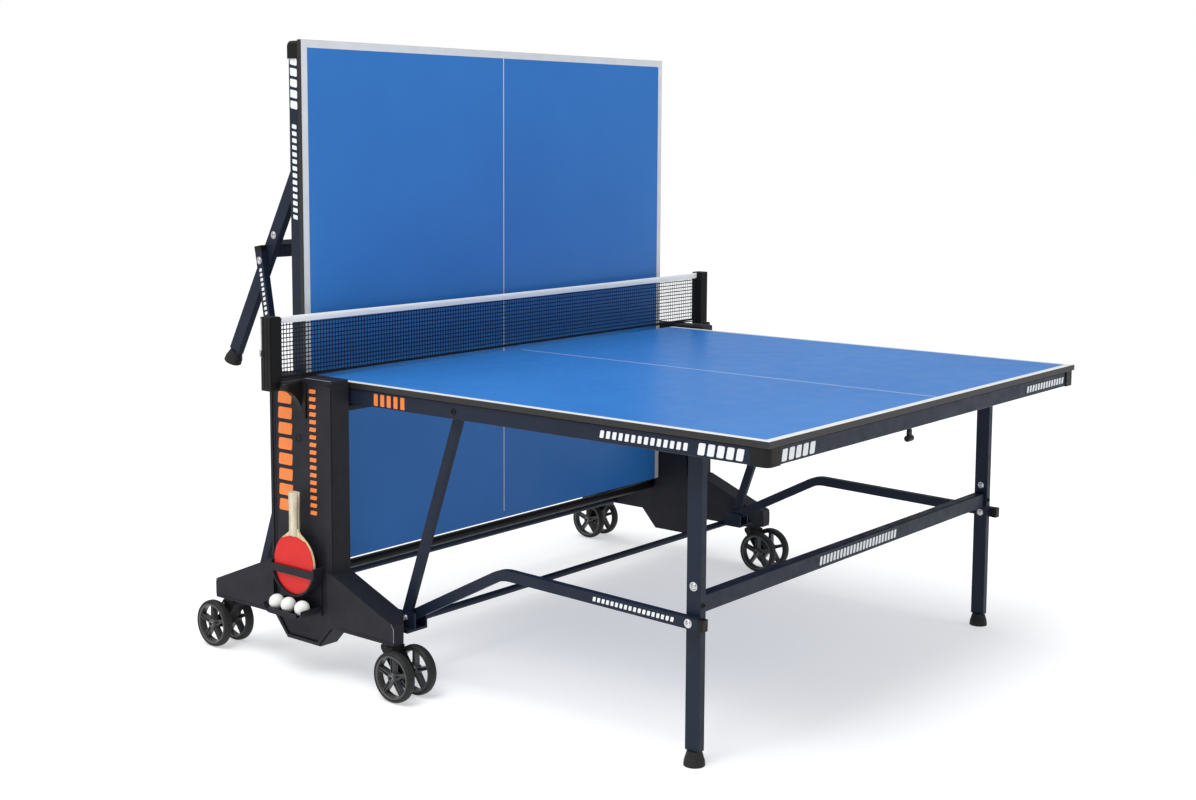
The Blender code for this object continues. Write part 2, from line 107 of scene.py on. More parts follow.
def add_studio():
    world = bpy.data.worlds.new("studio")
    world.use_nodes = True
    tree = world.node_tree
    tree.nodes["Background"].inputs["Color"].default_value = (0.93, 0.96, 1.0, 1.0)
    tree.nodes["Background"].inputs["Strength"].default_value = 0.42
    backdrop = tree.nodes.new("ShaderNodeBackground")
    backdrop.inputs["Color"].default_value = (1.0, 1.0, 1.0, 1.0)
    seen = tree.nodes.new("ShaderNodeLightPath")
    mix = tree.nodes.new("ShaderNodeMixShader")
    tree.links.new(seen.outputs["Is Camera Ray"], mix.inputs["Fac"])
    tree.links.new(tree.nodes["Background"].outputs["Background"], mix.inputs[1])
    tree.links.new(backdrop.outputs["Background"], mix.inputs[2])
    tree.links.new(mix.outputs["Shader"], tree.nodes["World Output"].inputs["Surface"])
    bpy.context.scene.world = world
    add_light("key", (0.8, -3.4, 4.9), (-0.4, 0, 0.8), (2.4, 2.4), 125)
    add_light("overhead", (0.6, 0.8, 5.0), (0.2, 0, 0), (4.0, 4.0), 32)
    sky = bpy.data.lights.new("soft_sky", "SUN")
    sky.energy = 1.45
    sky.angle = math.radians(50)
    obj = bpy.data.objects.new("soft_sky", sky)
    bpy.context.scene.collection.objects.link(obj)
    obj.rotation_euler = (math.radians(12), math.radians(-10), 0)
    add_light("side", (5.0, 2.0, 3.2), (0, 0, 0.6), (3.0, 2.5), 30)
    bm = bmesh.new()
    bmesh.ops.create_circle(bm, cap_ends=True, segments=64, radius=60.0)
    floor = mesh_object("studio_floor", bm, [pale_floor()])
    floor.location.z = -0.0008
    bpy.context.scene.view_settings.view_transform = "Standard"


# Materials

class Shader:
    """A Principled material with short calls for its texture nodes, in the piece's own coordinates."""

    def __init__(self, name, rough=0.5, metal=0.0, specular=0.5, **sockets):
        self.material = bpy.data.materials.new(name)
        self.material.use_nodes = True
        self.tree = self.material.node_tree
        self.out = self.tree.nodes["Principled BSDF"]
        self.out.inputs["Roughness"].default_value = rough
        self.out.inputs["Metallic"].default_value = metal
        self.out.inputs["Specular IOR Level"].default_value = specular
        for socket, value in sockets.items():
            self.out.inputs[socket.replace("_", " ")].default_value = value
        self.place = self.node("ShaderNodeTexCoord").outputs["Object"]

    def node(self, kind, **settings):
        made = self.tree.nodes.new(kind)
        for key, value in settings.items():
            setattr(made, key, value)
        return made

    def stretched(self, scale):
        mapping = self.node("ShaderNodeMapping")
        mapping.inputs["Scale"].default_value = scale
        self.tree.links.new(self.place, mapping.inputs["Vector"])
        return mapping.outputs["Vector"]

    def noise(self, scale, detail=3.0, rough=0.55, at=None):
        made = self.node("ShaderNodeTexNoise")
        made.inputs["Scale"].default_value = scale
        made.inputs["Detail"].default_value = detail
        made.inputs["Roughness"].default_value = rough
        self.tree.links.new(at or self.place, made.inputs["Vector"])
        return made.outputs["Fac"]

    def ramp(self, value, stops):
        made = self.node("ShaderNodeValToRGB")
        points = made.color_ramp.elements
        while len(points) < len(stops):
            points.new(0.5)
        for point, (at, colour) in zip(points, stops):
            point.position = at
            point.color = (*colour, 1.0)
        self.tree.links.new(value, made.inputs["Fac"])
        return made.outputs["Color"]

    def colour(self, value, stops):
        self.tree.links.new(self.ramp(value, stops), self.out.inputs["Base Color"])

    def roughness(self, value, low, high):
        made = self.node("ShaderNodeMapRange")
        made.inputs["To Min"].default_value = low
        made.inputs["To Max"].default_value = high
        made.inputs["From Min"].default_value = 0.3
        made.inputs["From Max"].default_value = 0.7
        self.tree.links.new(value, made.inputs["Value"])
        self.tree.links.new(made.outputs["Result"], self.out.inputs["Roughness"])

    def bump(self, value, strength, deep):
        made = self.node("ShaderNodeBump")
        made.inputs["Strength"].default_value = strength
        made.inputs["Distance"].default_value = deep
        self.tree.links.new(value, made.inputs["Height"])
        if self.out.inputs["Normal"].is_linked:
            self.tree.links.new(self.out.inputs["Normal"].links[0].from_socket, made.inputs["Normal"])
        self.tree.links.new(made.outputs["Normal"], self.out.inputs["Normal"])


def toned(colour, amount):
    return tuple(c * amount for c in colour)


def finish_of(name, colour, rough, spread=0.10, grain=900.0, depth=0.0002, strength=0.25, cloud=4.0,
              rough_spread=0.08, **sockets):
    """A coated or moulded surface: faint clouding of its colour, uneven gloss and a fine grain."""
    made = Shader(name, rough, **sockets)
    cloud_value = made.noise(cloud, 4.0)
    made.colour(cloud_value, [(0.30, toned(colour, 1 - spread)), (0.70, toned(colour, 1 + spread))])
    made.roughness(made.noise(cloud * 9, 5.0), rough - rough_spread, rough + rough_spread)
    made.bump(made.noise(grain, 2.0), strength, depth)
    return made.material


def pale_floor():
    return finish_of("pale_floor", (0.64, 0.64, 0.64), 0.9, spread=0.01, grain=40.0, cloud=0.8, strength=0.02,
                     specular=0.0, Emission_Color=(1.0, 1.0, 1.0, 1.0), Emission_Strength=0.50)


def blue_paint():
    """Rolled matt table paint: a fine orange peel and a faint cloud of gloss."""
    made = Shader("blue_paint", 0.40, specular=0.18)
    made.colour(made.noise(2.2, 5.0), [(0.35, (0.030, 0.172, 0.500)), (0.65, (0.034, 0.190, 0.535))])
    made.roughness(made.noise(16.0, 6.0), 0.28, 0.38)
    made.bump(made.noise(420.0, 3.0), 0.16, 0.0004)
    return made.material


def line_paint():
    made = Shader("line_paint", 0.45)
    made.colour(made.noise(30.0, 4.0), [(0.3, (0.66, 0.67, 0.67)), (0.7, (0.72, 0.73, 0.73))])
    made.bump(made.noise(420.0, 3.0), 0.16, 0.0004)
    return made.material


def edge_band():
    made = Shader("edge_band", 0.5)
    grain = made.noise(60.0, 6.0, at=made.stretched((1.0, 1.0, 6.0)))
    made.colour(grain, [(0.3, (0.008, 0.007, 0.006)), (0.7, (0.017, 0.015, 0.013))])
    made.bump(grain, 0.2, 0.0003)
    return made.material


def board_back():
    """Sealed particle board: flakes under a thin dark blue lacquer."""
    made = Shader("board_back", 0.6)
    chips = made.node("ShaderNodeTexVoronoi", feature="F1")
    chips.inputs["Scale"].default_value = 260.0
    made.tree.links.new(made.place, chips.inputs["Vector"])
    made.colour(chips.outputs["Distance"], [(0.0, (0.006, 0.036, 0.130)), (0.6, (0.013, 0.060, 0.205))])
    made.roughness(made.noise(20.0, 5.0), 0.5, 0.7)
    made.bump(chips.outputs["Distance"], 0.3, 0.0006)
    return made.material


def threads(name, dark, pale, pitch, rough=0.8):
    """Woven cloth: two crossed waves at the thread's pitch."""
    made = Shader(name, rough, specular=0.2)
    total = None
    for direction in ("Y", "Z"):
        wave = made.node("ShaderNodeTexWave", wave_type="BANDS", bands_direction=direction)
        wave.inputs["Scale"].default_value = 0.314 / pitch
        wave.inputs["Distortion"].default_value = 0.4
        made.tree.links.new(made.place, wave.inputs["Vector"])
        if total is None:
            total = wave.outputs["Fac"]
        else:
            joined = made.node("ShaderNodeMath", operation="MULTIPLY")
            made.tree.links.new(total, joined.inputs[0])
            made.tree.links.new(wave.outputs["Fac"], joined.inputs[1])
            total = joined.outputs["Value"]
    made.colour(total, [(0.0, dark), (0.8, pale)])
    made.bump(total, 0.5, 0.0003)
    return made.material


def wood(name, dark, pale, along=(1.0, 1.0, 0.12), scale=70.0):
    made = Shader(name, 0.45)
    rings = made.noise(scale, 6.0, 0.65, at=made.stretched(along))
    made.colour(rings, [(0.30, dark), (0.52, pale), (0.75, toned(pale, 1.08))])
    made.roughness(rings, 0.38, 0.55)
    made.bump(rings, 0.25, 0.0003)
    return made.material


def pimples(name, colour):
    """Table tennis rubber: a smooth sheet over close rows of pimples, seen as faint dots."""
    made = Shader(name, 0.38, specular=0.25)
    dots = made.node("ShaderNodeTexVoronoi", feature="F1")
    dots.inputs["Scale"].default_value = 520.0
    dots.inputs["Randomness"].default_value = 0.15
    made.tree.links.new(made.place, dots.inputs["Vector"])
    made.colour(made.noise(14.0, 4.0), [(0.3, toned(colour, 0.93)), (0.7, toned(colour, 1.05))])
    made.roughness(made.noise(60.0, 4.0), 0.30, 0.46)
    made.bump(dots.outputs["Distance"], 0.25, 0.0003)
    return made.material


def zinc(name="zinc_plate"):
    made = Shader(name, 0.32, metal=0.85)
    made.colour(made.noise(120.0, 5.0), [(0.3, (0.50, 0.51, 0.52)), (0.7, (0.74, 0.74, 0.73))])
    made.roughness(made.noise(260.0, 3.0), 0.24, 0.42)
    made.bump(made.noise(900.0, 2.0), 0.15, 0.0002)
    return made.material


def tread_rubber():
    made = Shader("tread_rubber", 0.62, specular=0.25)
    grit = made.noise(240.0, 5.0)
    made.colour(grit, [(0.3, (0.012, 0.012, 0.012)), (0.7, (0.026, 0.026, 0.025))])
    made.roughness(made.noise(30.0, 5.0), 0.50, 0.74)
    made.bump(grit, 0.35, 0.0004)
    return made.material


MATERIALS = {
    "blue": blue_paint(), "line": line_paint(), "edge": edge_band(), "back": board_back(),
    "navy": finish_of("navy_powder_coat", (0.0105, 0.0165, 0.0330), 0.46,
                      grain=1500.0, strength=0.35, specular=0.20),
    "black_steel": finish_of("black_powder_coat", (0.0060, 0.0065, 0.0080), 0.44,
                      grain=1500.0, strength=0.35, specular=0.20),
    "charcoal": finish_of("charcoal_moulding", (0.0140, 0.0140, 0.0195), 0.55, grain=650.0, strength=0.45,
                          depth=0.0003, cloud=3.0, specular=0.22),
    "black": finish_of("black_moulding", (0.0070, 0.0068, 0.0064), 0.48,
                       grain=700.0, strength=0.3, specular=0.22),
    "spoke": finish_of("spoke_plastic", (0.062, 0.062, 0.063), 0.34,
                       grain=500.0, strength=0.2, cloud=20.0, specular=0.45),
    "tread": tread_rubber(),
    "tape": threads("white_tape", (0.80, 0.80, 0.80), (0.94, 0.94, 0.93), 0.0012),
    "cord": threads("net_cord", (0.006, 0.009, 0.020), (0.020, 0.026, 0.045), 0.0008),
    "sleeve": threads("net_sleeve", (0.006, 0.006, 0.007), (0.016, 0.016, 0.017), 0.0011),
    "strap": threads("holder_strap", (0.010, 0.010, 0.010), (0.024, 0.024, 0.024), 0.0014),
    # Painted highlight: pale grey for rods drawn along edges, standing in for the light those edges catch
    "edge_highlight_paint": finish_of("painted_edge_highlight", (0.30, 0.30, 0.33), 0.45, spread=0.2, grain=900.0, cloud=60.0),
    "orange": finish_of("orange_print", BAR_ORANGE, 0.42, spread=0.05, grain=700.0, cloud=25.0),
    "white": finish_of("white_print", MARK_WHITE, 0.45, spread=0.04, grain=700.0, cloud=25.0),
    "ball": finish_of("ball_white", (0.83, 0.83, 0.80), 0.40, spread=0.02, grain=800.0, cloud=60.0),
    "handle": wood("pale_handle", (0.42, 0.34, 0.20), (0.66, 0.60, 0.44)),
    "stripe": wood("handle_stripe", (0.50, 0.42, 0.28), (0.74, 0.69, 0.55)),
    "ply": wood("blade_ply", (0.52, 0.40, 0.18), (0.76, 0.66, 0.40), along=(1.0, 8.0, 0.3)),
    "red": pimples("red_rubber", (0.70, 0.014, 0.011)),
    "black_rubber": pimples("black_rubber", (0.014, 0.014, 0.014)),
    "zinc": zinc(),
    "spring": finish_of("spring_steel", (0.42, 0.43, 0.44), 0.28, metal=0.9, grain=900.0, cloud=40.0),
}


# Meshes

def mesh_object(name, bm, materials, smooth=35.0):
    bmesh.ops.remove_doubles(bm, verts=bm.verts, dist=1e-6)
    mesh = bpy.data.meshes.new(name)
    bm.to_mesh(mesh)
    bm.free()
    for material in materials:
        mesh.materials.append(material)
    obj = bpy.data.objects.new(name, mesh)
    bpy.context.scene.collection.objects.link(obj)
    if smooth:
        for face in mesh.polygons:
            face.use_smooth = True
        mesh.set_sharp_from_angle(angle=math.radians(smooth))
    return obj


def piece(name, bm, body, materials, stands_for=(), place=None, bevel=0.0, smooth=35.0):
    """A piece of the visual model, riding on a body. place is a matrix for its mesh."""
    if place is not None:
        bm.transform(place)
    obj = mesh_object(name, bm, [MATERIALS[m] for m in materials], smooth)
    if bevel:
        add_bevel(obj, bevel)
    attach(obj, body)
    if stands_for:
        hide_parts(*stands_for)
    return obj


def add_bevel(obj, width, segments=3):
    rounding = obj.modifiers.new("edges", "BEVEL")
    rounding.width = width
    rounding.segments = segments
    rounding.limit_method = "ANGLE"
    rounding.angle_limit = math.radians(35)
    rounding.harden_normals = True


def soften(node, material, width=0.0, smooth=35.0):
    """A CAD node with its seams welded, its long edges rounded and its own finish."""
    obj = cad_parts[node]
    obj.data.materials.clear()
    obj.data.materials.append(MATERIALS[material])
    weld = obj.modifiers.new("weld", "WELD")
    weld.merge_threshold = 0.00005
    if width:
        add_bevel(obj, width)
    else:
        by_angle(obj, smooth)


def by_angle(obj, degrees):
    for face in obj.data.polygons:
        face.use_smooth = True
    split = obj.modifiers.new("creases", "EDGE_SPLIT")
    split.split_angle = math.radians(degrees)


def box(x, y, z):
    bm = bmesh.new()
    bmesh.ops.create_cube(bm, size=1.0)
    size = Vector((x[1] - x[0], y[1] - y[0], z[1] - z[0]))
    middle = Vector((x[0] + x[1], y[0] + y[1], z[0] + z[1])) / 2
    bmesh.ops.transform(bm, matrix=Matrix.Translation(middle) @ Matrix.Diagonal((*size, 1.0)), verts=bm.verts)
    return bm


def joined(*meshes):
    whole = bmesh.new()
    for bm in meshes:
        scratch = bpy.data.meshes.new("scratch")
        bm.to_mesh(scratch)
        bm.free()
        whole.from_mesh(scratch)
        bpy.data.meshes.remove(scratch)
    return whole


def prism(outline, low, high, axis="Y"):
    """An outline drawn out between low and high: (x, z) along Y, (y, z) along X or (x, y) along Z."""
    def at(a, b, c):
        return {"Y": (a, c, b), "X": (c, a, b), "Z": (a, b, c)}[axis]

    bm = bmesh.new()
    face = bm.faces.new([bm.verts.new(at(a, b, low)) for a, b in outline])
    grown = bmesh.ops.extrude_face_region(bm, geom=[face])
    moved = [g for g in grown["geom"] if isinstance(g, bmesh.types.BMVert)]
    bmesh.ops.translate(bm, vec=at(0, 0, high - low), verts=moved)
    bmesh.ops.recalc_face_normals(bm, faces=bm.faces)
    return bm


def lathe(profile, steps=32, place=None, closed=False):
    """A profile of (radius, height) turned about Z."""
    bm = bmesh.new()
    verts = [bm.verts.new((max(r, 0.0), 0, z)) for r, z in profile]
    pairs = list(zip(verts, verts[1:])) + ([(verts[-1], verts[0])] if closed else [])
    edges = [bm.edges.new(pair) for pair in pairs]
    bmesh.ops.spin(bm, geom=verts + edges, cent=(0, 0, 0), axis=(0, 0, 1), dvec=(0, 0, 0),
                   angle=2 * math.pi, steps=steps, use_merge=True, use_duplicate=False)
    bmesh.ops.remove_doubles(bm, verts=bm.verts, dist=1e-6)
    bmesh.ops.recalc_face_normals(bm, faces=bm.faces)
    if place is not None:
        bm.transform(place)
    return bm


def towards(point, direction):
    """A matrix that sets local Z along the direction, at the point."""
    return Matrix.Translation(point) @ Vector(direction).to_track_quat("Z", "Y").to_matrix().to_4x4()


def rod(a, b, radius, sides=12):
    a, b = Vector(a), Vector(b)
    bm = bmesh.new()
    bmesh.ops.create_cone(bm, cap_ends=True, segments=sides, radius1=radius, radius2=radius,
                          depth=(b - a).length, matrix=towards((a + b) / 2, b - a))
    return bm


def rounded_rect(wide, tall, radius, steps=4, middle=(0.0, 0.0)):
    points = []
    for cx, cy, start in ((1, 1, 0), (-1, 1, 90), (-1, -1, 180), (1, -1, 270)):
        for i in range(steps + 1):
            a = math.radians(start + 90 * i / steps)
            points.append((middle[0] + cx * (wide / 2 - radius) + radius * math.cos(a),
                           middle[1] + cy * (tall / 2 - radius) + radius * math.sin(a)))
    return points


def bolt(name, at, direction, body, radius=0.0075, tall=0.004, material="zinc"):
    """A domed bolt head on a washer, with a round socket."""
    head = lathe([(0, 0), (radius * 1.35, 0), (radius * 1.35, 0.0009), (radius, 0.0010),
                  (radius * 0.93, tall * 0.62), (radius * 0.72, tall * 0.92), (radius * 0.45, tall),
                  (radius * 0.42, tall * 0.45), (0, tall * 0.45)], steps=24)
    return piece(name, head, body, [material], place=towards(at, direction))


# Half-tables

def half_frame(tag):
    low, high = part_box(f"board_{tag}")
    if tag == "A":
        return Matrix(((1, 0, 0, low.x), (0, 1, 0, 0), (0, 0, 1, high.z), (0, 0, 0, 1)))
    return Matrix(((0, 0, 1, high.x), (0, -1, 0, 0), (1, 0, 0, low.z), (0, 0, 0, 1)))


BOARD_LOW, BOARD_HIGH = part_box("board_A")
LENGTH = BOARD_HIGH.x - BOARD_LOW.x
HALF_WIDE = BOARD_HIGH.y
THICK = BOARD_HIGH.z - BOARD_LOW.z


def add_board(tag):
    """The board, its top cut along the lines so that each is its own paint."""
    bm = bmesh.new()
    along = [0.0, LINE, LENGTH - LINE, LENGTH]
    across = [-HALF_WIDE, LINE - HALF_WIDE, -CENTRE_LINE / 2, CENTRE_LINE / 2, HALF_WIDE - LINE, HALF_WIDE]
    for height, up in ((0.0, True), (-THICK, False)):
        grid = [[bm.verts.new((u, v, height)) for v in across] for u in along]
        for i in range(len(along) - 1):
            for j in range(len(across) - 1):
                corners = [grid[i][j], grid[i + 1][j], grid[i + 1][j + 1], grid[i][j + 1]]
                face = bm.faces.new(corners if up else corners[::-1])
                border = i == 2 or j in (0, 4)
                centre = j == 2 and i > 0
                face.material_index = (1 if border or centre else 0) if up else 3
    rim = [edge for edge in bm.edges if edge.is_boundary]
    for edge in rim:
        edge.seam = True
    bmesh.ops.bridge_loops(bm, edges=rim)
    for face in bm.faces:
        if abs(face.normal.z) < 0.5:
            face.material_index = 2
    bmesh.ops.recalc_face_normals(bm, faces=bm.faces)
    piece(f"painted_board_{tag}", bm, f"half_{tag}", ["blue", "line", "edge", "back"],
          stands_for=[f"board_{tag}"], place=half_frame(tag), bevel=0.0008)


def plane(origin, along, up):
    """A matrix from (along, up, out) to the row frame."""
    a, b = Vector(along).normalized(), Vector(up).normalized()
    c = a.cross(b)
    return Matrix(((a.x, b.x, c.x, origin[0]), (a.y, b.y, c.y, origin[1]), (a.z, b.z, c.z, origin[2]),
                   (0, 0, 0, 1)))


def add_half(tag):
    add_board(tag)
    for where, _ in SIDES:
        soften(f"side_rail_{where}_{tag}", "navy", 0.0018)
        soften(f"levelling_foot_{where}_{tag}", "tread", smooth=40.0)
        soften(f"corner_cap_{where}_{tag}", "black", 0.0025)
        soften(f"brace_{where}_{tag}", "navy", 0.0025)
        soften(f"bent_strut_{where}_{tag}", "navy", 0.0025)
        soften(f"leg_{where}_{tag}", "navy", 0.0025)
    soften(f"end_rail_{tag}", "navy", 0.0018)
    soften(f"leg_crossbar_{tag}", "navy", 0.0022)
    soften(f"slider_tube_{tag}", "black_steel", smooth=40.0)
    soften(f"base_cross_tube_{tag}", "navy", smooth=40.0)
    soften(f"release_lever_{tag}", "black", smooth=40.0)


# Frames of the parts that lean differently in each half: (along, across, up) to the row frame

def axes(origin, a, v, b):
    return Matrix(((a[0], v[0], b[0], origin[0]), (a[1], v[1], b[1], origin[1]),
                   (a[2], v[2], b[2], origin[2]), (0, 0, 0, 1)))


def leg_frame(tag):
    """From the leg's pivot, up along the leg."""
    if tag == "A":
        return Matrix.Translation((NET_X + LEG_TOP[0], 0, LEG_TOP[1]))
    s, c = math.sin(LEG_LEAN), math.cos(LEG_LEAN)
    return axes((FACE_B - (TOP_Z - LEG_TOP[1]), 0, EDGE_B + LEG_TOP[0]), (-c, 0, s), (0, -1, 0), (s, 0, c))


def link_frame(tag, foot, end):
    """From a link's foot pivot, along the line to its other pivot."""
    side = 1 if tag == "A" else -1
    start = Vector((NET_X + side * foot[0], 0, foot[1]))
    line = (Vector(end) - start).normalized()
    v = Vector((0, side, 0))
    return axes(start, line, v, line.cross(v))


def strut_end(tag):
    return leg_frame(tag) @ Vector((0, 0, STRUT_END[1] - LEG_TOP[1]))


def brace_end(tag):
    return half_frame(tag) @ Vector((BRACE_TOP[0] - GAP_U, 0, BRACE_TOP[1] - TOP_Z))


# Links and their bolts

def add_links(tag):
    legs, strut = leg_frame(tag), link_frame(tag, STRUT_FOOT, strut_end(tag))
    side = 1 if tag == "A" else -1
    lean = math.atan2(STRUT_END[1] - STRUT_FOOT[1], STRUT_END[0] - STRUT_FOOT[0])
    tail = math.atan2(STRUT_END[1] - STRUT_BEND[1], STRUT_END[0] - STRUT_BEND[0]) - lean
    reach = (Vector(STRUT_END) - Vector(STRUT_FOOT)).length
    for where, y in SIDES:
        v = y * side
        pivot_z = STRUT_END[1] - LEG_TOP[1]
        for z, face, body in ((pivot_z, 0.7220, f"struts_{tag}"), (-0.317, 0.7025, f"legs_{tag}")):
            bolt(f"bolt_out_{where}_{tag}_{abs(round(z * 1000))}", legs @ Vector((0, v * face, z)),
                 (0, y, 0), body)
            bolt(f"bolt_in_{where}_{tag}_{abs(round(z * 1000))}", legs @ Vector((0, v * 0.6825, z)),
                 (0, -y, 0), f"legs_{tag}", radius=0.0065)
        for part, point in (("brace", BRACE_FOOT), ("strut", STRUT_FOOT)):
            at = Vector((NET_X + side * point[0], y * 0.7425, point[1]))
            bolt(f"{part}_foot_bolt_{where}_{tag}", at, (0, y, 0), "centre_frame", radius=0.006)
        at = brace_end(tag) + Vector((0, y * 0.7575, 0))
        bolt(f"brace_top_bolt_{where}_{tag}", at, (0, y, 0), f"half_{tag}", radius=0.0065,
             material="black_steel")
        # Black plug in the open end of the bent strut
        plug = box((0.024, 0.0395), sorted((v * 0.7024, v * 0.7226)), (-0.0136, 0.0136))
        turned = Matrix.Translation((reach, 0, 0)) @ Matrix.Rotation(-tail, 4, "Y")
        piece(f"strut_plug_{where}_{tag}", plug, f"struts_{tag}", ["black"],
              place=strut @ turned, bevel=0.0015)


def add_end_plugs(tag):
    """Small bolts that hold the crossbar, on the outer face of each leg's end."""
    for where, y in SIDES:
        at = leg_frame(tag) @ Vector((0.019, y * 0.692 * (1 if tag == "A" else -1), -0.359))
        out = leg_frame(tag).to_3x3() @ Vector((1, 0, 0))
        bolt(f"crossbar_bolt_{where}_{tag}", at, out, f"legs_{tag}", radius=0.0055, material="black_steel")


# Casters

def add_wheel(node, body, outward):
    low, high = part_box(node)
    middle, radius, half = (low + high) / 2, (high.z - low.z) / 2, (high.y - low.y) / 2
    tyre = lathe([(radius * 0.865, -half * 0.80), (radius * 0.915, -half * 0.96),
                  (radius * 0.955, -half * 0.84),
                  (radius * 0.992, -half * 0.50), (radius, -half * 0.12), (radius * 0.994, 0.0),
                  (radius, half * 0.12), (radius * 0.992, half * 0.50), (radius * 0.955, half * 0.84),
                  (radius * 0.915, half * 0.96), (radius * 0.865, half * 0.80)], steps=56, closed=True)
    rim = lathe([(radius * 0.765, -half * 0.30), (radius * 0.778, -half * 0.78),
                 (radius * 0.795, -half * 0.86),
                 (radius * 0.852, -half * 0.86), (radius * 0.874, -half * 0.70),
                 (radius * 0.874, half * 0.70),
                 (radius * 0.852, half * 0.86), (radius * 0.795, half * 0.86), (radius * 0.778, half * 0.78),
                 (radius * 0.765, half * 0.30)], steps=56, closed=True)
    hub = lathe([(0.0050, -half * 0.92), (0.0110, -half * 0.92), (0.0128, -half * 0.75), (0.0145, 0.0),
                 (0.0128, half * 0.75), (0.0110, half * 0.92), (0.0050, half * 0.92)], steps=28, closed=True)
    spokes = []
    for i in range(5):
        turn = Matrix.Rotation(2 * math.pi * i / 5 + math.pi / 2, 4, "Z")
        web = prism([(0.010, -0.0050), (radius * 0.79, -0.0036), (radius * 0.79, 0.0036), (0.010, 0.0050)],
                    -half * 0.24, half * 0.24, axis="Z")
        for v in (-1, 1):
            rib = prism([(0.009, v * 0.0045 - 0.0010), (radius * 0.79, v * 0.0033 - 0.0010),
                         (radius * 0.79, v * 0.0033 + 0.0010), (0.009, v * 0.0045 + 0.0010)],
                        -half * 0.66, half * 0.66, axis="Z")
            web = joined(web, rib)
        web.transform(turn)
        spokes.append(web)
    place = towards(middle, (0, outward, 0))
    piece(f"tyre_of_{node}", tyre, body, ["tread"], stands_for=[node], place=place)
    piece(f"rim_of_{node}", joined(rim, hub), body, ["spoke"], place=place)
    piece(f"spokes_of_{node}", joined(*spokes), body, ["spoke"], place=place,
          bevel=0.0007)
    cap = lathe([(0, half * 1.02), (0.0030, half * 1.01), (0.0052, half * 0.96), (0.0060, half * 0.88),
                 (0.0060, half * 0.70), (0, half * 0.70)], steps=20)
    piece(f"axle_end_of_{node}", cap, body, ["zinc"], place=place)


def add_casters():
    for where, y in SIDES:
        for tag in "AB":
            fork = f"caster_fork_{where}_{tag}"
            soften(fork, "black", 0.0015)
            add_wheel(f"caster_wheel_{where}_{tag}_outer", f"wheel_{where}_{tag}_outer", y)
            add_wheel(f"caster_wheel_{where}_{tag}_inner", f"wheel_{where}_{tag}_inner", -y)
            x = NET_X + (STEM[0] if tag == "A" else -STEM[0])
            ring = lathe([(0.0160, 0.1228), (0.0222, 0.1228), (0.0236, 0.1245), (0.0236, 0.1275),
                          (0.0160, 0.1275)],
                         steps=32, place=Matrix.Translation((x, y * STEM[1], 0)), closed=True)
            piece(f"swivel_ring_{where}_{tag}", ring, f"caster_{where}_{tag}", ["black"])


# Net

def cord_mesh(points, deep, wide, knots=()):
    """A flat cord through points, thicker where knots says."""
    bm = bmesh.new()
    along = (points[-1] - points[0]).normalized()
    a = Vector((1, 0, 0))
    b = along.cross(a).normalized()
    rings = []
    for i, p in enumerate(points):
        r = 1.4 if i in knots else 1.0
        rings.append([bm.verts.new(p + a * r * deep * ca + b * r * wide * cb)
                      for ca, cb in ((1, 0), (0, 1), (-1, 0), (0, -1))])
    for low, high in zip(rings, rings[1:]):
        for k in range(4):
            bm.faces.new((low[k], low[(k + 1) % 4], high[(k + 1) % 4], high[k]))
    bm.faces.new(rings[0][::-1])
    bm.faces.new(rings[-1])
    return bm


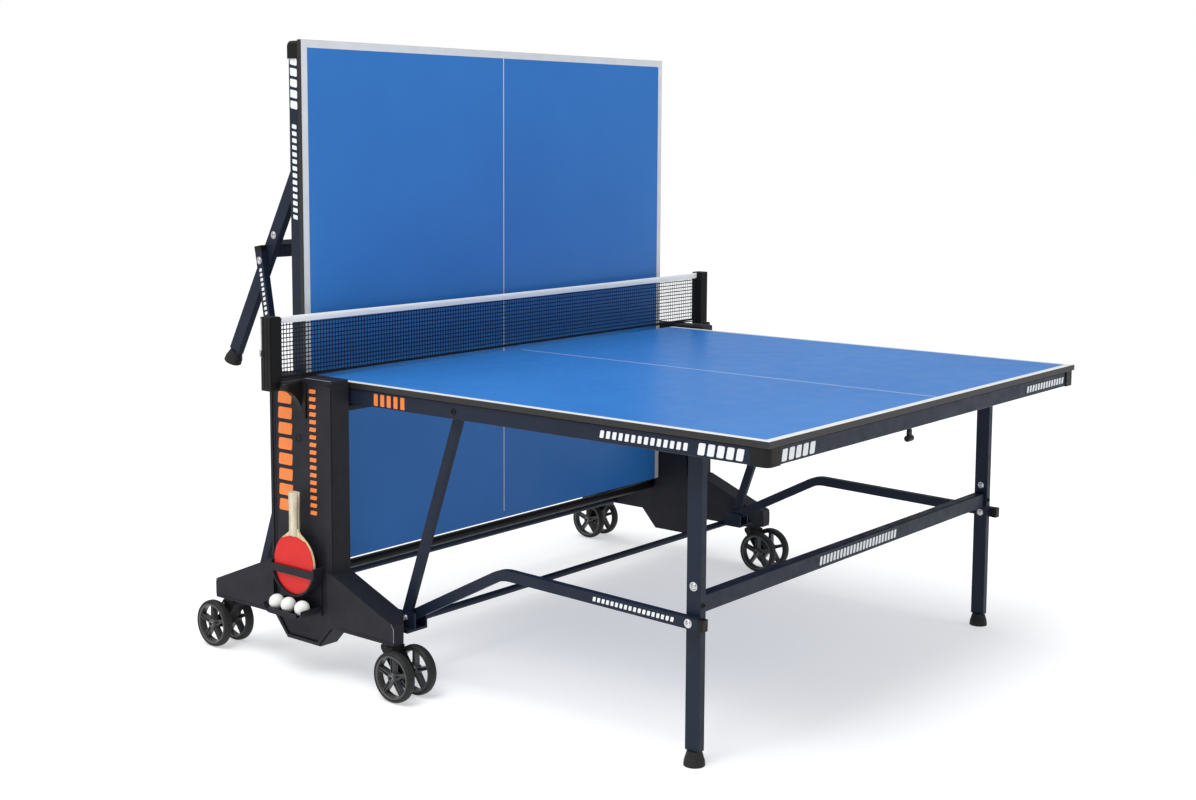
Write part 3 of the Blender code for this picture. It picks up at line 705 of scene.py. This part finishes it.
def add_net():
    """Square mesh knotted from cord, with a taped top, a hemmed foot and a sleeve round each post."""
    low, high = net_low, net_high
    half, top, foot = high.y - 0.0032, high.z - TAPE_TALL * 0.6, low.z + 0.0035
    columns, rows = int(round(2 * half / MESH_PITCH)), 14

    def knot(i, j):
        y = -half + 2 * half * i / columns
        z = foot + (top - foot) * j / (rows - 1)
        n = noise.noise_vector(Vector((i * 0.71, j * 0.93, 2.7)))
        return Vector((NET_X + 0.0004 * n.x, y + 0.0009 * n.y, z + 0.0007 * n.z))

    grid = [[knot(i, j) for j in range(rows)] for i in range(columns + 1)]

    def line(points, lift):
        drawn = []
        for p, q in zip(points, points[1:]):
            drawn += [p, p.lerp(q, 0.18), p.lerp(q, 0.82)]
        drawn.append(points[-1])
        return cord_mesh([p + Vector((lift, 0, 0)) for p in drawn], *CORD, set(range(0, len(drawn), 3)))

    threads_made = [line(column, 0.0002) for column in grid]
    threads_made += [line([grid[i][j] for i in range(columns + 1)], -0.0002) for j in range(rows)]
    mesh = joined(*threads_made)
    net = piece("net_mesh", mesh, "net", ["cord"], stands_for=["net"], smooth=70.0)

    steps = 120
    tape = bmesh.new()
    section = [(-0.0012, 0.0), (-0.0016, TAPE_TALL * 0.5), (-0.0011, TAPE_TALL * 0.97),
               (0.0, TAPE_TALL * 1.03),
               (0.0011, TAPE_TALL * 0.97), (0.0016, TAPE_TALL * 0.5), (0.0012, 0.0)]
    rings = []
    for i in range(steps + 1):
        y = -half + 2 * half * i / steps
        ripple = 0.0006 * noise.noise(Vector((y * 9.0, 0.0, 0.4)))
        sag = 0.0022 * (1 - (y / half) ** 2)
        rings.append([tape.verts.new((NET_X + x * (1 + 0.2 * noise.noise(Vector((y * 22, z * 90, 0)))), y,
                                      high.z + 0.0012 - TAPE_TALL + z - sag + ripple * (1 - z / TAPE_TALL)))
                      for x, z in section])
    for a, b in zip(rings, rings[1:]):
        for k in range(len(section)):
            m = (k + 1) % len(section)
            tape.faces.new((a[k], a[m], b[m], b[k]))
    tape.faces.new(rings[0][::-1])
    tape.faces.new(rings[-1])
    bmesh.ops.recalc_face_normals(tape, faces=tape.faces)
    top_tape = piece("net_tape", tape, "net", ["tape"], smooth=50.0)

    hem = box((NET_X - 0.0014, NET_X + 0.0014), (-half, half), (low.z - 0.001, low.z + 0.0055))
    bmesh.ops.subdivide_edges(hem, edges=[e for e in hem.edges if abs((e.verts[0].co - e.verts[1].co).y) > 1],
                              cuts=90, use_grid_fill=True)
    for vert in hem.verts:
        vert.co.z += 0.0008 * noise.noise(Vector((vert.co.y * 12, 0, 3.0)))
    bottom = piece("net_hem", hem, "net", ["sleeve"], bevel=0.0006)

    for where, y in SIDES:
        # Tension cord, from the hem down to the foot of the post
        points = [Vector((NET_X + 0.0030, y * (0.655 + 0.24 * t), low.z + 0.001 - 0.0060 * t ** 1.4))
                  for t in (i / 14 for i in range(15))]
        piece(f"tension_cord_{where}", cord_mesh(points, 0.0014, 0.0020), "net", ["sleeve"])
        inner, outer = 0.0179, 0.0196
        ends = NET_POST[0] - 0.0030, NET_POST[0] - 0.0012, NET_POST[1] - 0.003
        shape = [(outer, ends[2]), (outer, ends[0] + 0.002), (outer - 0.002, ends[0]),
                 (-outer + 0.002, ends[0]),
                 (-outer, ends[0] + 0.002), (-outer, ends[2]), (-inner, ends[2]), (-inner, ends[1]),
                 (inner, ends[1]), (inner, ends[2])]
        sleeve = prism([(NET_X + a, y * b) for a, b in shape], low.z - 0.004, high.z + 0.0005, axis="Z")
        piece(f"net_sleeve_{where}", sleeve, "net", ["sleeve"], bevel=0.0005)
        # Stitching down the sleeve's edge
        stitches = [rod((NET_X + outer, y * (ends[0] + 0.006), z),
                        (NET_X + outer, y * (ends[0] + 0.006), z + 0.0032),
                        0.0005, 6) for z in (low.z + 0.004 + 0.0058 * i for i in range(25))]
        piece(f"sleeve_stitches_{where}", joined(*stitches), "net", ["strap"])


def add_net_posts():
    for where, y in SIDES:
        soften(f"net_post_{where}", "black", 0.0022)
        low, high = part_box(f"net_post_{where}")
        out = NET_POST[1]
        strip = box((NET_X - 0.0160, NET_X - 0.0125), sorted((y * (out - 0.0005), y * (out + 0.0012))),
                    (high.z - 0.084, high.z - 0.004))
        cleat = prism([(y * a, b) for a, b in ((out, 0.828), (out + 0.006, 0.831), (out + 0.0075, 0.848),
                                               (out + 0.006, 0.849), (out + 0.0045, 0.834), (out, 0.832))],
                      NET_X - 0.0165, NET_X - 0.0115, axis="X")
        piece(f"post_strip_{where}", strip, "centre_frame", ["zinc"], bevel=0.0003)
        piece(f"post_cleat_{where}", cleat, "centre_frame", ["zinc"], bevel=0.0004)
        for x in (-0.008, 0.004):
            rib = prism([(NET_X + x, y * (out - 0.001)), (NET_X + x + 0.004, y * (out - 0.001)),
                         (NET_X + x + 0.003, y * (out + 0.0012)), (NET_X + x + 0.001, y * (out + 0.0012))],
                        low.z + 0.082, high.z - 0.002, axis="Z")
            piece(f"post_rib_{where}_{'left' if x < 0 else 'right'}", rib, "centre_frame", ["black"],
                  bevel=0.0005)
        flange = box((NET_X + 0.0093, NET_X + 0.0250), sorted((y * 0.8243, y * 0.8300)), (0.664, 0.752))
        piece(f"post_flange_{where}", flange, "centre_frame", ["black"], bevel=0.0020)
        knob = lathe([(0, -0.002), (0.0115, -0.002), (0.0130, 0.001), (0.0130, 0.010), (0.0105, 0.0135),
                      (0, 0.0145)],
                     steps=28, place=towards((NET_X + 0.036, y * 0.905, 0.7515), (0, 0, 1)))
        stem = rod((NET_X + 0.016, y * 0.905, 0.7535), (NET_X + 0.030, y * 0.905, 0.7535), 0.004, 12)
        piece(f"post_knob_{where}", joined(knob, stem), "centre_frame", ["black"])


# Housings

def add_housing(where, y):
    """Raised borders, the field's groove and the small recess of the upright, and the lip of the keel."""
    soften(f"side_upright_{where}", "charcoal", 0.0030)
    soften(f"bat_and_ball_holder_{where}", "charcoal", 0.0007)
    face = HOUSING_FACE

    def raised(name, outline, tall, material="charcoal", base=face - 0.0005, bevel=0.0008):
        shape = prism([(NET_X + x, z) for x, z in outline], *sorted((y * base, y * (face + tall))))
        return piece(f"{name}_{where}", shape, "centre_frame", [material],
                     bevel=bevel)

    cap = box((NET_X - POST_X, NET_X + POST_X), sorted((y * 0.7675, y * 0.8245)), (0.7565, 0.7680))
    piece(f"housing_cap_{where}", cap, "centre_frame", ["charcoal"], bevel=0.0020)
    # Painted highlight: a pale rod along the cap's outer top edge, standing in for the light caught on that
    # edge
    rim = rod((NET_X + 0.020, y * 0.8243, 0.7676), (NET_X + POST_X - 0.002, y * 0.8243, 0.7676), 0.0006, 8)
    piece(f"cap_edge_highlight_{where}", rim, "centre_frame", ["edge_highlight_paint"])
    left, right = -POST_X, POST_X
    raised("border_left",
           [(left + 0.001, 0.286), (left + 0.010, 0.286), (left + 0.010, 0.755), (left + 0.001, 0.755)],
           0.0030)
    raised("groove_rib_left",
           [(left + 0.016, 0.230), (left + 0.019, 0.230), (left + 0.019, 0.755), (left + 0.016, 0.755)],
           0.0012, bevel=0.0005)
    raised("border_right", [(right - 0.026, 0.150), (right - 0.003, 0.150), (right - 0.003, 0.755),
                            (right - 0.026, 0.755)], 0.0030)
    keel = [(-0.060, 0.0815), (0.060, 0.0815), (0.1100, 0.1370), (0.1020, 0.1420), (0.0565, 0.0900),
            (-0.0565, 0.0900), (-0.1020, 0.1420), (-0.1100, 0.1370)]
    raised("keel_lip", keel, 0.0045, bevel=0.0015)
    dimple = lathe([(0.0085, 0.0), (0.0105, 0.0), (0.0110, 0.0009), (0.0095, 0.0014), (0.0082, 0.0009)],
                   steps=36,
                   place=towards((NET_X - 0.011, y * face, 0.610), (0, y, 0)), closed=True)
    piece(f"recess_rim_{where}", dimple, "centre_frame", ["charcoal"])
    for side in (-1, 1):
        # Painted highlight: pale rods where the wing's end is chamfered, standing in for the light caught on
        # that edge
        a = Vector((NET_X + side * 0.3425, y * 0.8347, 0.146))
        b = Vector((NET_X + side * 0.3425, y * 0.8347, 0.180))
        c = Vector((NET_X + side * 0.3340, y * 0.8347, 0.1915))
        edge = joined(rod(a, b, 0.0007, 8), rod(b, c, 0.0007, 8))
        piece(f"wing_edge_highlight_{where}_{'right' if side > 0 else 'left'}", edge, "centre_frame", ["edge_highlight_paint"])
        # Wing face, one step down from its border
        rim = [(0.150, 0.1420), (0.332, 0.1420), (0.332, 0.1450), (0.153, 0.1450)]
        raised(f"wing_rim_{'right' if side > 0 else 'left'}", [(side * x, z) for x, z in rim][::side], 0.0122,
               base=0.8345, bevel=0.0004)


def add_housing_graphics():
    """Rows of plain bars in place of lettering."""
    near = -0.8243
    wide = plane((NET_X, near, 0), (1, 0, 0), (0, 0, 1))
    for name, x, pitch, size, count, start, lean in (
            ("column_wide", -0.0595, 0.040, (0.052, 0.030), 8, 0.430, 0.10),
            ("column_thin", 0.0460, 0.0195, (0.024, 0.0105), 17, 0.424, 0.25)):
        shapes = []
        for i in range(count):
            outline = [(x + a + lean * b, start + i * pitch + b)
                       for a, b in rounded_rect(*size, size[1] * 0.16)]
            shapes.append(prism(outline, 0.0, 0.0007, axis="Z"))
        piece(f"orange_{name}", joined(*shapes), "centre_frame", ["orange"], place=wide)


def add_rail_graphics():
    """Plain dashes in place of lettering, on rails, struts and crossbars."""
    def dashes(name, body, place, spans, tall, material="white", lean=0.18):
        shapes = []
        for a, b in spans:
            outline = rounded_rect(b - a, tall, min(b - a, tall) * 0.18, middle=((a + b) / 2, 0))
            shapes.append(prism([(u + lean * v, v) for u, v in outline], 0.0, 0.0005, axis="Z"))
        piece(name, joined(*shapes), body, [material], place=place)

    def row(start, end, count, fill=0.74):
        step = (end - start) / count
        return [(start + i * step, start + i * step + step * fill) for i in range(count)]

    rail = RAIL_FACE
    a = plane((NET_X, -rail, 0.7235), (1, 0, 0), (0, 0, 1))
    dashes("rail_bars_orange", "half_A", a,
           [(x - 0.007, x + 0.007) for x in (0.207, 0.230, 0.253, 0.277, 0.301)],
           0.030, "orange", lean=0.0)
    dashes("rail_dashes_long", "half_A", a, row(0.924, 1.169, 14, 0.60), 0.017)
    dashes("rail_dashes_wide", "half_A", a, row(1.190, 1.312, 5, 0.72), 0.026)
    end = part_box("end_rail_A")[1].x + 0.0001
    e = plane((end, 0, 0.7235), (0, 1, 0), (0, 0, 1))
    dashes("end_dashes_wide", "half_A", e, row(-0.7060, -0.570, 5, 0.72), 0.026)
    dashes("end_dashes_long", "half_A", e, row(0.472, 0.705, 14, 0.60), 0.017)
    strut = plane((NET_X + 0.877, -STRUT_FACE, 0.3327), (0.264, 0, -0.0058), (0.0058, 0, 0.264))
    dashes("strut_dashes", "struts_A", strut, row(0.0, 0.232, 18, 0.62), 0.0105)
    bar = plane((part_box("leg_crossbar_A")[1].x + 0.0001, 0, 0.3625), (0, 1, 0), (0, 0, 1))
    dashes("crossbar_dashes", "legs_A", bar, row(-0.196, 0.182, 24, 0.62), 0.021)
    low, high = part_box("side_rail_near_B")
    b = plane(((low.x + high.x) / 2, -rail, 0), (0, 0, -1), (1, 0, 0))
    dashes("folded_rail_dashes_wide", "half_B", b, row(-1.575, -1.437, 5, 0.72), 0.026)
    dashes("folded_rail_dashes_long", "half_B", b, row(-1.405, -1.156, 14, 0.60), 0.017)
    s = link_frame("B", STRUT_FOOT, strut_end("B"))
    reach = (Vector(STRUT_END) - Vector(STRUT_FOOT)).length
    lean = math.atan2(STRUT_END[1] - STRUT_FOOT[1], STRUT_END[0] - STRUT_FOOT[0])
    tail = math.atan2(STRUT_END[1] - STRUT_BEND[1], STRUT_END[0] - STRUT_BEND[0]) - lean
    tip = s @ Matrix.Translation((reach, 0, 0)) @ Matrix.Rotation(-tail, 4, "Y")
    origin = tip @ Vector((-0.022, STRUT_FACE, 0))
    back, up = tip.to_3x3() @ Vector((-1, 0, 0)), tip.to_3x3() @ Vector((0, 0, -1))
    dashes("folded_strut_dashes", "struts_B", plane(origin, back, up), row(0.0, 0.232, 18, 0.62), 0.0105)


# Bat and balls

def add_bat():
    low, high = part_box("bat")
    middle_y, blade_z = (low.y + high.y) / 2, high.z - 0.186
    rx, rz = (high.x - low.x) / 2, blade_z - low.z
    x0 = (low.x + high.x) / 2

    def outline(grow, neck=True, steps=64):
        start = math.degrees(math.acos(0.014 / rx))
        points = []
        for i in range(steps + 1):
            a = math.radians(180 - start + (180 + 2 * start) * i / steps)
            points.append((x0 + (rx + grow) * math.cos(a), blade_z + (rz + grow) * math.sin(a)))
        if not neck:
            return points
        right = [(0.0290, 0.0745), (0.0215, 0.0795), (0.0170, 0.0850), (0.0150, 0.0920)]
        below = [p for p in points if p[1] < blade_z + 0.070]
        return (below + [(x0 + x, blade_z + z) for x, z in right]
                + [(x0 - x, blade_z + z) for x, z in reversed(right)])

    wood_half, rubber = 0.0030, 0.0024
    blade = prism(outline(0.0), middle_y - wood_half, middle_y + wood_half)
    piece("bat_blade", blade, "bat", ["ply"], stands_for=["bat"], bevel=0.0008)
    cut = blade_z + 0.0700
    for name, side, material in (("front", -1, "red"), ("back", 1, "black_rubber")):
        kept = [(x, z) for x, z in outline(-0.0012, neck=False) if z < cut]
        kept = [p for p in kept if p[1] < cut - 0.006] + [(x0 + 0.014, cut + 0.001),
                                                          (x0 - 0.014, cut + 0.001)]
        a, b = middle_y + side * wood_half, middle_y + side * (wood_half + rubber)
        piece(f"bat_rubber_{name}", prism(kept, *sorted((a, b))), "bat", [material],
              bevel=0.0004)
    profile = ((0.0725, 0.0118), (0.078, 0.0128), (0.095, 0.0134), (0.120, 0.0130), (0.150, 0.0136),
               (0.172, 0.0152),
               (0.184, 0.0164), (0.1855, 0.0158))
    for name, side in (("front", -1), ("back", 1)):
        bm = bmesh.new()
        rings = []
        for z, wide in profile:
            deep = 0.0080 if z > 0.075 else 0.0050
            ring = []
            for k in range(9):
                a = math.pi * k / 8
                ring.append(bm.verts.new((x0 + wide * math.cos(a),
                                          middle_y + side * (wood_half + deep * min(1.0, 1.25 * math.sin(a))),
                                          blade_z + z)))
            rings.append(ring)
        for p, q in zip(rings, rings[1:]):
            for k in range(8):
                bm.faces.new((p[k], p[k + 1], q[k + 1], q[k]))
            bm.faces.new((p[8], p[0], q[0], q[8]))
        bm.faces.new(rings[0][::-1])
        bm.faces.new(rings[-1])
        bmesh.ops.recalc_face_normals(bm, faces=bm.faces)
        for face in bm.faces:
            middle = face.calc_center_median()
            face.material_index = 1 if abs(middle.x - x0) < 0.0042 else 0
        piece(f"bat_handle_{name}", bm, "bat", ["handle", "stripe"], smooth=50.0)


def add_balls():
    for number in (1, 2, 3):
        low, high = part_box(f"ball_{number}")
        middle, radius = (low + high) / 2, (high.z - low.z) / 2
        bm = bmesh.new()
        bmesh.ops.create_icosphere(bm, subdivisions=4, radius=radius, matrix=Matrix.Translation(middle))
        seam = noise.noise(Vector((number, 0, 0)))
        for vert in bm.verts:
            d = (vert.co - middle).normalized()
            if abs(d.dot(Vector((math.cos(number), seam, math.sin(number))).normalized())) < 0.010:
                vert.co -= d * 0.00012
        piece(f"celluloid_{number}", bm, f"ball_{number}", ["ball"],
              stands_for=[f"ball_{number}"], smooth=80.0)


# The whole table

add_camera()
add_studio()
for tag in "AB":
    add_half(tag)
    add_links(tag)
    add_end_plugs(tag)
add_casters()
add_net()
add_net_posts()
for where, y in SIDES:
    add_housing(where, y)
add_housing_graphics()
add_rail_graphics()
add_bat()
add_balls()
